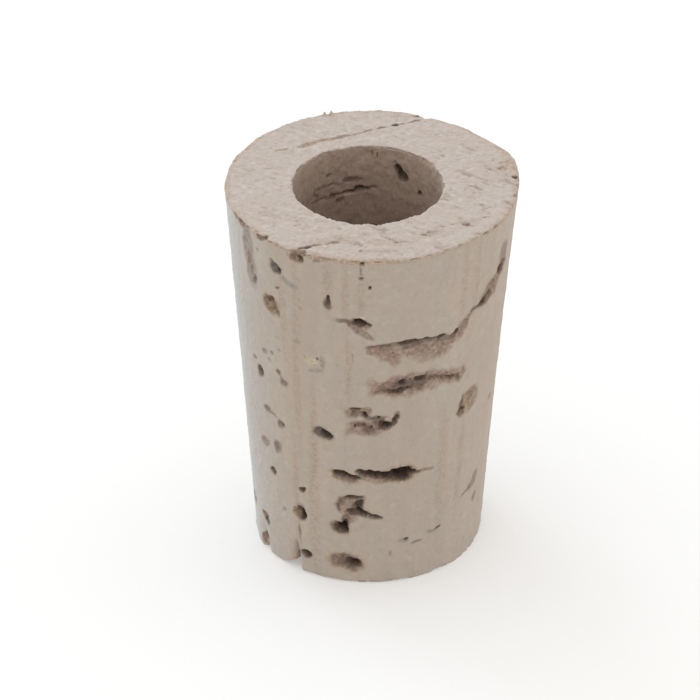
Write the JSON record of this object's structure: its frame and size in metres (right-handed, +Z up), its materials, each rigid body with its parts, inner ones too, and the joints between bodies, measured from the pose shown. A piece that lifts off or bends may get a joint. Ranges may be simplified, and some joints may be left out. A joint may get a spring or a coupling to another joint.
{
  "type": "bored cork sleeve",
  "caption": "Tapered natural cork plug bored through from end to end, which pushes onto the shaft of a dip pen as its grip or stopper.",
  "frame": {"origin": "centre of the narrow end face, on the surface the cork stands on", "axes": "+Z up the cork's axis from the narrow end to the wide end; -Y faces the front; the cork's lenticels lie level along a line turned 25 degrees from +X towards +Y"},
  "size_m": [0.019, 0.019, 0.0262],
  "materials": {
    "natural_cork": "matt raw natural cork, with darker brown lenticels"
  },
  "bodies": {
    "root": {"cork_sleeve": "natural_cork"}
  },
  "joints": []
}
